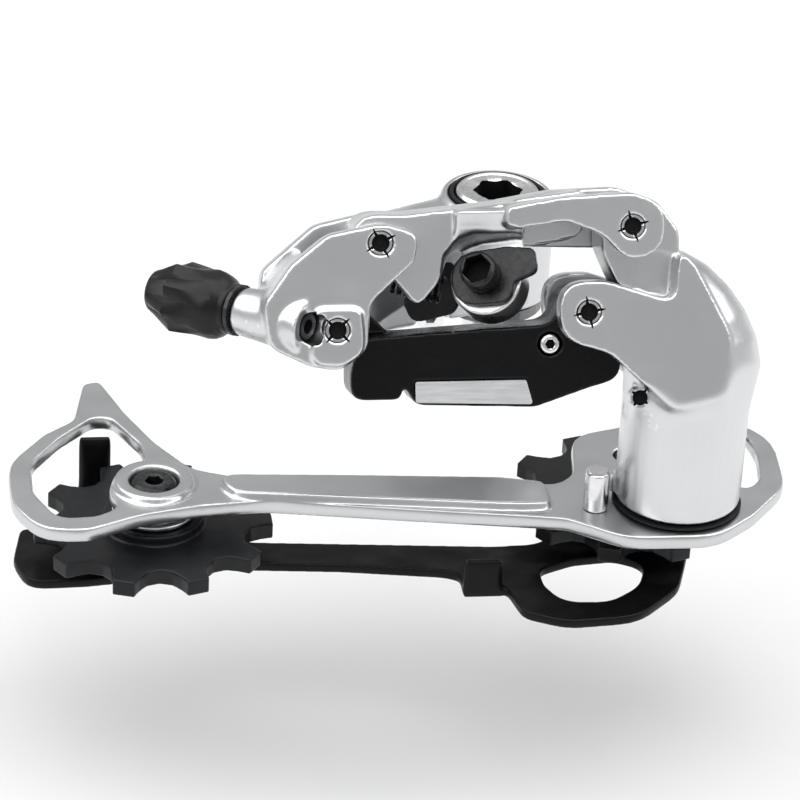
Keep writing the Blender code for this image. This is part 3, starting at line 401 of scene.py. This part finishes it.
def rounded_profile(points, radius=0.25, steps=3):
    """Profile with each inner corner replaced by a small arc of straight steps."""
    made = [points[0]]
    for before, here, after in zip(points, points[1:], points[2:]):
        here, back, ahead = Vector(here), Vector(before) - Vector(here), Vector(after) - Vector(here)
        reach = min(radius, back.length * 0.45, ahead.length * 0.45)
        start, end = here + back.normalized() * reach, here + ahead.normalized() * reach
        for step in range(steps + 1):
            t = step / steps
            made.append(tuple(start * (1 - t) ** 2 + here * 2 * t * (1 - t) + end * t ** 2))
    made.append(points[-1])
    return made


def turned(name, profile, matrix, segments=96, radius=0.25):
    return new_object(name, polar(rounded_profile(profile, radius), segments), matrix, 50)


def hexagon(name, across_flats, low, high, matrix):
    corner = across_flats / math.sqrt(3)
    return new_object(name, polar([(0, high), (corner, high), (corner, low), (0, low)], 6), matrix)


def cut_away(obj, tool):
    cut = obj.modifiers.new("cut", "BOOLEAN")
    cut.operation = "DIFFERENCE"
    cut.solver = "EXACT"
    cut.object = tool
    applied(obj)
    drop(tool)
    obj.data.shade_smooth()
    obj.data.set_sharp_from_angle(angle=math.radians(40))
    return obj


def paint_socket_shade(obj, matrix, across_flats, top):
    """Painted shade: near-black walls and floor inside a hex socket."""
    obj.data.materials.append(PAINTED_SHADE_BLACK)
    inward = matrix.inverted()
    for face in obj.data.polygons:
        local = inward @ face.center / MM
        if top - 8 < local.z < top - 0.4 and math.hypot(local.x, local.y) < across_flats * 0.56:
            face.material_index = 1


def socketed(name, node, profile, matrix, across_flats, depth, top, material=None, countersink=0.35):
    """Turned fastener with a hex socket and a small lead-in."""
    obj = turned(name, profile, matrix)
    cut_away(obj, hexagon(name + "_hex", across_flats, top - depth, top + 1, matrix))
    half = across_flats / 2
    rim, floor = top + 0.3, top - countersink
    cone = [(0, rim), (half + countersink + 0.4, rim), (half - 0.1, floor), (0, floor)]
    cut_away(obj, new_object(name + "_cone", polar(cone, 64), matrix))
    place_piece(obj, node, material)
    # Painted shade inside the socket.
    paint_socket_shade(obj, matrix, across_flats, top)


# ---------------------------------------------------------------- castings and mouldings

VOXEL = 0.26
ARM_PLANE = facing((0, 0, 0), PIN_WAY)
CAGE_PLANE = Matrix.Identity(4)
B_CASTING = softened("b_knuckle", VOXEL, 12, None, ARM_PLANE, 1.0)
ARM_TO_BARREL = ((21, -46.5, 5.2), (24, -48, 3.6), (29, -49.1, 4.1), (34.3, -48, 7), (36.3, -46.9, 10.2))
P_CASTING = softened("p_knuckle", VOXEL, 12, None, ARM_PLANE, 0.9, ARM_TO_BARREL)
LINK_CASTING = softened("outer_link", VOXEL, 10, None, ARM_PLANE, 0.7)
softened("outer_cage_plate", VOXEL, 8, SILVER_PLATE, CAGE_PLANE)
softened("inner_cage_plate", VOXEL, 4, SATIN_BLACK, CAGE_PLANE)
softened("inner_link", VOXEL, 5, None, ARM_PLANE, 0.8)
softened("cable_clamp_washer", 0.2, 3)
softened("guide_pulley", VOXEL, 4)
softened("tension_pulley", VOXEL, 4)


# ---------------------------------------------------------------- staked pins

def staked_pin(node, top_point, radius, length, spikes=4, lean=0.4):
    """Link pin whose end is punched outwards in a cross."""
    rings = 14
    pit, groove = 0.8, 0.42
    profile = [(0, -pit)] + [(radius * k / rings, 0) for k in range(1, rings + 1)]
    profile += [(radius, -length), (0, -length)]

    def punched(angle, step, r, h):
        if h < -0.01 or step > rings:
            return r, h
        off = (angle - lean + math.pi / spikes) % (math.tau / spikes) - math.pi / spikes
        across = abs(math.sin(off)) * r
        star = math.exp(-(across / 0.24) ** 2) * min(1, max(0, (radius * 1.1 - r) / 0.5))
        middle = math.exp(-(r / (radius * 0.68)) ** 8)
        return r, h - max(pit * middle, groove * star)

    obj = new_object(node + "_staked", polar(profile, 96, punched), facing(top_point, -PIN_WAY), 30)
    place_piece(obj, node, PIN_FACE)
    # The pit's faces get the near-black painted shade.
    obj.data.materials.append(PAINTED_SHADE_BLACK)
    inward = facing(top_point, -PIN_WAY).inverted()
    for face in obj.data.polygons:
        local = inward @ face.center
        if -pit * 1.1 * MM < local.z < -0.1 * MM and math.hypot(local.x, local.y) < radius * 0.98 * MM:
            face.material_index = 1


MARK_ROOT = 0.24
MARK_TIP = 0.05
MARK_DEPTHS = (-0.4, 0.6)


def burst(casting, node, top_point, inner, outer, lean):
    """Chisel marks that run from a staked pin into the casting around it, their grooves painted near-black as
    shade.
    """
    bm = bmesh.new()
    for mark in range(4):
        turn = Matrix.Rotation(lean + math.tau * mark / 4, 4, "Z")
        wedge = [(inner, -MARK_ROOT), (outer, -MARK_TIP), (outer, MARK_TIP), (inner, MARK_ROOT)]
        loops = [[bm.verts.new(turn @ (Vector((x, y, z)) * MM)) for x, y in wedge] for z in MARK_DEPTHS]
        for i in range(4):
            j = (i + 1) % 4
            bm.faces.new((loops[0][i], loops[0][j], loops[1][j], loops[1][i]))
        bm.faces.new(loops[0][::-1])
        bm.faces.new(loops[1])
    tool = new_object(node + "_marks", bm, facing(top_point, -PIN_WAY))
    # Painted shade: the cut grooves take the near-black material.
    tool.data.materials.append(None)
    tool.data.materials.append(PAINTED_SHADE_BLACK)
    for face in tool.data.polygons:
        face.material_index = 1
    if len(casting.data.materials) < 2:
        casting.data.materials.append(PAINTED_SHADE_BLACK)
    cut_away(casting, tool)
    casting.data.shade_smooth()
    casting.data.set_sharp_from_angle(angle=math.radians(60))


PIN_RADIUS = 1.95
SMALL_PIN_RADIUS = 1.7
SMALL_PIN_LENGTH = 3.0
PIN_MARKS = (2.05, 2.85)
SMALL_PIN_MARKS = (1.85, 2.5)
for node, casting, lean in (
    ("outer_link_upper_pin", B_CASTING, 0.5), ("inner_link_upper_pin", B_CASTING, 0.8),
    ("outer_link_lower_pin", LINK_CASTING, 0.3), ("inner_link_lower_pin", P_CASTING, 0.2),
    ("spring_retaining_pin", P_CASTING, 0.9),
):
    low, high = extent(node, PIN_WAY)
    middle = centre(node)
    top = middle - PIN_WAY * (middle.dot(PIN_WAY) - low)
    if node == "spring_retaining_pin":
        staked_pin(node, top, SMALL_PIN_RADIUS, SMALL_PIN_LENGTH, lean=lean)
        burst(casting, node, top, *SMALL_PIN_MARKS, lean)
    else:
        staked_pin(node, top, PIN_RADIUS, (high - low) / MM, lean=lean)
        burst(casting, node, top, *PIN_MARKS, lean)


# ---------------------------------------------------------------- bolts, screws and turned parts

def upright(node):
    """Matrix on a node's own vertical axis, at its middle."""
    return Matrix.Translation(centre(node))


def make_mounting_bolt():
    low, high = extent("mounting_bolt", UP)
    top, end = high / MM, low / MM
    profile = [
        (0, top - 0.25), (6.2, top - 0.25), (6.6, top), (7.0, top), (7.6, top - 0.6), (7.6, top - 3.6),
        (5.0, top - 3.6), (5.0, 0.2), (4.9, -0.2), (4.9, end + 1.0), (4.0, end), (0, end),
    ]
    place = Matrix.Identity(4)
    socketed("mounting_bolt_turned", "mounting_bolt", profile, place, 8.0, 6.0, top, POLISHED, 0.5)


CLAMP_BOLT_TOP = (-10.2, -52.6, 21.6)


def make_clamp_bolt():
    matrix = facing(linkage(*CLAMP_BOLT_TOP), CLAMP_WAY)
    profile = [(0, 0), (2.5, 0), (3.15, -0.55), (3.15, -4.4), (2.45, -4.4), (2.45, -12.3), (0, -12.3)]
    socketed("clamp_bolt_turned", "cable_clamp_bolt", profile, matrix, 4.6, 3.2, 0, BLACK_OXIDE, 0.3)


def make_limit_screws():
    for node, side in (("high_limit_screw", -1), ("low_limit_screw", 1)):
        low, high = extent(node, PIN_WAY)
        middle = centre(node)
        reach = (low if side < 0 else high) - middle.dot(PIN_WAY)
        matrix = facing(middle + PIN_WAY * reach, PIN_WAY * side)
        profile = [(0, 0), (1.3, 0), (1.75, -0.35), (1.75, -5.0), (0, -5.0)]
        socketed(node + "_turned", node, profile, matrix, 1.6, 1.3, 0, POLISHED, 0.15)


def make_pulley_bolts():
    for prefix, out in (("guide", -1), ("tension", 1)):
        node = prefix + "_pulley_bolt"
        low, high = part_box(node)
        length = (high.z - low.z) / MM
        matrix = upright(node) @ Matrix.Translation((0, 0, out * length / 2 * MM))
        if out < 0:
            matrix = matrix @ Matrix.Rotation(math.pi, 4, "X")
        profile = [(0, 0), (3.4, 0), (4.1, -0.7), (4.1, -1.7), (2.45, -1.7), (2.45, -length), (0, -length)]
        socketed(node + "_turned", node, profile, matrix, 3.0, 1.9, 0, BLACK_OXIDE, 0.3)


def make_dust_caps():
    for prefix in ("guide", "tension"):
        for side, word in ((1, "_outer_dust_cap"), (-1, "_inner_dust_cap")):
            node = prefix + word
            matrix = upright(node)
            if side < 0:
                matrix = matrix @ Matrix.Rotation(math.pi, 4, "X")
            profile = [
                (4.3, -0.2), (4.3, 0.1), (5.6, 0.1), (6.2, 0.45), (7.1, 0.45), (7.4, 0.15), (7.4, -0.45),
                (6.9, -0.45), (6.9, -0.2),
            ]
            place_piece(turned(node + "_pressed", profile, matrix, 96, 0.12), node)


def make_rings():
    profile = [(7.85, 0), (8.0, 1.2), (8.4, 1.4), (8.7, 1.15), (8.7, -1.35), (7.85, -1.35)]
    place_piece(turned("b_seal_turned", profile, upright("b_seal_ring"), 128, 0.3), "b_seal_ring")
    profile = [(9.8, 0.2), (11.35, 0.2), (11.5, 0.0), (11.35, -0.2), (9.8, -0.2)]
    place_piece(turned("p_seal_turned", profile, upright("p_seal_ring"), 128, 0.06), "p_seal_ring")


def make_stop_pin():
    low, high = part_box("cage_stop_pin")
    top = (high.z - low.z) / 2 / MM
    profile = [
        (0, top), (1.8, top), (2.2, top - 0.4), (2.2, 2.5 - top), (1.3, 2.5 - top), (1.3, -top), (0, -top),
    ]
    place_piece(turned("stop_pin_turned", profile, upright("cage_stop_pin"), 64, 0.2), "cage_stop_pin")


KNOB_FLUTES = 8


def make_knob():
    """Moulded knob: sharp flutes that open towards its outer end, leaf facets between them, a collar."""
    low, high = extent("adjuster_knob", KNOB_WAY)
    hinge = Vector(JOINTS["adjuster_turn"]["pos_m"])
    matrix = facing(hinge - KNOB_WAY * (hinge.dot(KNOB_WAY) - low), KNOB_WAY)
    length = (high - low) / MM
    stations = [
        (2.8, 0.0, 0, 0), (4.2, 0.0, 0, 0), (4.4, 0.2, 0, 0), (4.4, 1.0, 0, 0), (4.6, 1.3, 0, 0),
        (5.4, 2.2, 0, 0.1), (6.0, 3.2, 0.1, 0.35), (6.4, 4.4, 0.3, 0.55), (6.4, 6.4, 0.65, 0.45),
        (6.4, 8.8, 1.0, 0.2), (6.4, 11.4, 1.35, 0), (5.6, 12.9, 1.2, 0), (4.8, 14.4, 0.8, 0),
        (4.2, 15.5, 0.4, 0), (3.9, length - 0.3, 0.1, 0), (3.7, length, 0, 0), (2.8, length, 0, 0),
    ]

    def fluted(angle, step, radius, height):
        ridge = abs((angle * KNOB_FLUTES / math.pi) % 2 - 1)
        outer_cut, inner_cut = stations[step][2:]
        return radius - outer_cut * (1 - ridge) - inner_cut * ridge, height

    profile = [station[:2] for station in stations]
    knob = new_object("adjuster_knob_moulded", polar(profile, 192, fluted), matrix, 18)
    place_piece(knob, "adjuster_knob")


RETURN_PLACE = (-22.4, -40.4, 18.5)
RETURN_WAY = Vector((0.97, 0, -0.2))


def make_return_spring():
    """Torsion spring between the links, in black wire, a little slimmer than the CAD one to clear them."""
    matrix = facing(linkage(*RETURN_PLACE), SLANTED.to_3x3() @ RETURN_WAY)
    turns, radius, wire, length = 7.5, 2.1, 0.4, 8.4
    steps, sides = 300, 12
    bm = bmesh.new()
    loops = []
    for step in range(steps + 1):
        angle = math.tau * turns * step / steps
        out = Vector((math.cos(angle), math.sin(angle), 0))
        middle = out * radius + Vector((0, 0, length * step / steps))
        loops.append([
            bm.verts.new((middle + (out * math.cos(t) + Vector((0, 0, math.sin(t)))) * wire) * MM)
            for t in (math.tau * i / sides for i in range(sides))
        ])
    for one, two in zip(loops, loops[1:]):
        for i in range(sides):
            j = (i + 1) % sides
            bm.faces.new((one[i], one[j], two[j], two[i]))
    bm.faces.new(loops[0])
    bm.faces.new(loops[-1])
    place_piece(new_object("return_spring_wound", bm, matrix), "return_spring", BLACK_OXIDE)


make_mounting_bolt()
make_clamp_bolt()
make_limit_screws()
make_pulley_bolts()
make_dust_caps()
make_rings()
make_stop_pin()
make_knob()
make_return_spring()


# ---------------------------------------------------------------- the rest keeps its CAD shape

OWN_FINISH = {"adjuster_washer": BLACK_OXIDE}
for name, node in NODES.items():
    if not node.hide_render:
        node.data.materials.clear()
        node.data.materials.append(OWN_FINISH.get(name, FINISH[SLOT_OF[name]]))


# ---------------------------------------------------------------- studio

FULL_SWING = math.radians(48)
FLOOR_MARGIN = 1 * MM
FLOOR_SIZE = 3.0
FLOOR_GREYS = ((0.64, 0.64, 0.64), (0.66, 0.66, 0.66))


def swing_drop():
    """How far the cage comes down when the linkage swings all the way, so that the floor stays below it."""
    arm = Vector(JOINTS["p_knuckle_swing"]["pos_m"]) - Vector(JOINTS["parallelogram_swing"]["pos_m"])
    swung = Matrix.Rotation(FULL_SWING, 3, PIN_WAY) @ arm
    return arm.z - swung.z


def make_floor():
    bm = bmesh.new()
    bmesh.ops.create_grid(bm, x_segments=2, y_segments=2, size=FLOOR_SIZE)
    height = CAD_BOX[0][2] - swing_drop() - FLOOR_MARGIN
    floor = new_object("studio_floor", bm, Matrix.Translation((0, 0, height)))
    n = Nodes("pale_floor")
    n.colour(n.blend(n.noise(6, 3), *FLOOR_GREYS))
    n.rough(n.spread(n.noise(40, 3), 0.6, 0.75))
    floor.data.materials.append(n.material)


def area_light(name, place, target, size, power):
    light = bpy.data.lights.new(name, "AREA")
    light.shape = "SQUARE"
    light.size = size
    light.energy = power
    obj = bpy.data.objects.new(name, light)
    bpy.context.scene.collection.objects.link(obj)
    obj.location = place
    obj.rotation_euler = (Vector(target) - Vector(place)).to_track_quat("-Z", "Y").to_euler()


CAMERA_PLACE = Vector((-0.106433, -0.587951, 0.306128))
CAMERA_RIGHT = Vector((0.99083871, -0.12632104, 0.04776649))
CAMERA_UP = Vector((0.01941668, 0.48326694, 0.87525771))
CAMERA_LENS = 165.0
CAMERA_SENSOR = 36
CAMERA_CLIP = 0.01


def make_camera():
    camera = bpy.data.objects.new("camera", bpy.data.cameras.new("camera"))
    bpy.context.scene.collection.objects.link(camera)
    turn = Matrix((CAMERA_RIGHT, CAMERA_UP, CAMERA_RIGHT.cross(CAMERA_UP))).transposed()
    camera.matrix_world = Matrix.Translation(CAMERA_PLACE) @ turn.to_4x4()
    camera.data.lens = CAMERA_LENS
    camera.data.sensor_width = CAMERA_SENSOR
    camera.data.clip_start = CAMERA_CLIP
    bpy.context.scene.camera = camera


WORLD_STOPS = (
    (0.0, 0.9), (0.1, 0.5), (0.25, 0.34), (0.42, 0.5), (0.6, 0.56), (0.8, 0.4), (1.0, 0.42),
)


def make_world():
    """Surroundings white up to the horizon and greyer above it, so that metal shows its shape."""
    world = bpy.data.worlds.new("studio")
    world.use_nodes = True
    tree = world.node_tree
    coords = tree.nodes.new("ShaderNodeTexCoord")
    split = tree.nodes.new("ShaderNodeSeparateXYZ")
    ramp = tree.nodes.new("ShaderNodeValToRGB")
    tree.links.new(coords.outputs["Generated"], split.inputs["Vector"])
    tree.links.new(split.outputs["Z"], ramp.inputs["Fac"])
    for position, grey in WORLD_STOPS[1:-1]:
        ramp.color_ramp.elements.new(position)
    for element, (position, grey) in zip(ramp.color_ramp.elements, WORLD_STOPS):
        element.position = position
        element.color = (grey, grey, grey * 1.01, 1)
    tree.links.new(ramp.outputs["Color"], tree.nodes["Background"].inputs["Color"])
    bpy.context.scene.world = world


def make_light():
    aim = (-0.02, -0.02, -0.005)
    area_light("key", (-0.45, -0.05, 0.85), aim, 1.5, 15)
    area_light("fill", (0.6, -0.1, 0.8), aim, 1.3, 10)


make_floor()
make_camera()
make_light()
make_world()
bpy.context.scene.view_settings.view_transform = "Standard"
